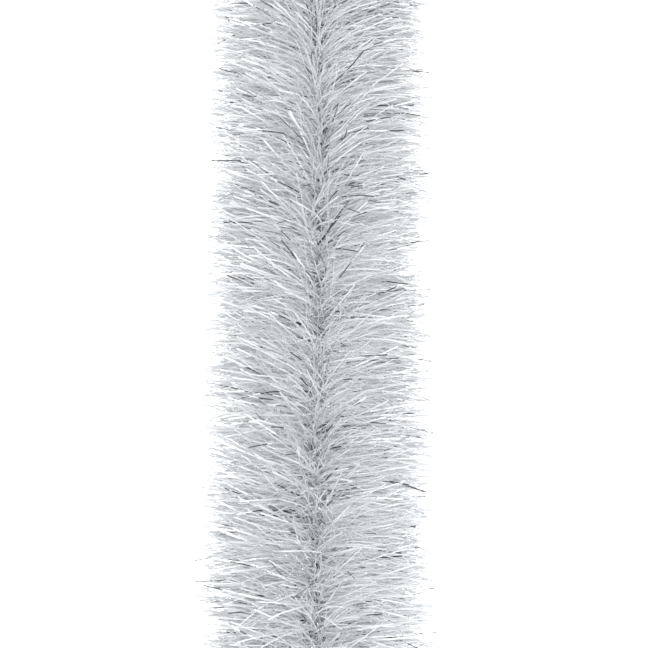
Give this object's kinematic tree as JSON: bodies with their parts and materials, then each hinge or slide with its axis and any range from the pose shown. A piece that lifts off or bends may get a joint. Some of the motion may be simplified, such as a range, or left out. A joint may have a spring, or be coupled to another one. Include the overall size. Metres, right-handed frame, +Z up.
{
  "type": "tinsel feather boa",
  "caption": "White and silver boa of slit film strips gripped between two core cords, laid on a table in a loose S, with a crimped hanging loop at each end.",
  "frame": {"origin": "on the table, under the middle of the boa's straight middle run", "axes": "+Y along the straight run, which is also the longest way of the laid boa; +Z up from the table"},
  "size_m": [0.5722, 0.7084, 0.0792],
  "materials": {
    "white_film": "pearl white film, soft lengthwise sheen",
    "clear_film": "clear to smoky translucent film, glossy",
    "silver_film": "metallised film, mirror bright, finely creased",
    "cord": "twisted white thread, matt",
    "ferrule": "pressed, satin"
  },
  "bodies": {
    "root": {"white_fringe_upper": "white_film", "white_fringe_middle": "white_film", "white_fringe_lower": "white_film", "clear_fringe_upper": "clear_film", "clear_fringe_lower": "clear_film", "silver_fringe": "silver_film", "core_cord_upper": "cord", "core_cord_lower": "cord", "left_ferrule": "ferrule", "right_ferrule": "ferrule", "left_hanging_loop": "cord", "right_hanging_loop": "cord"}
  },
  "joints": []
}
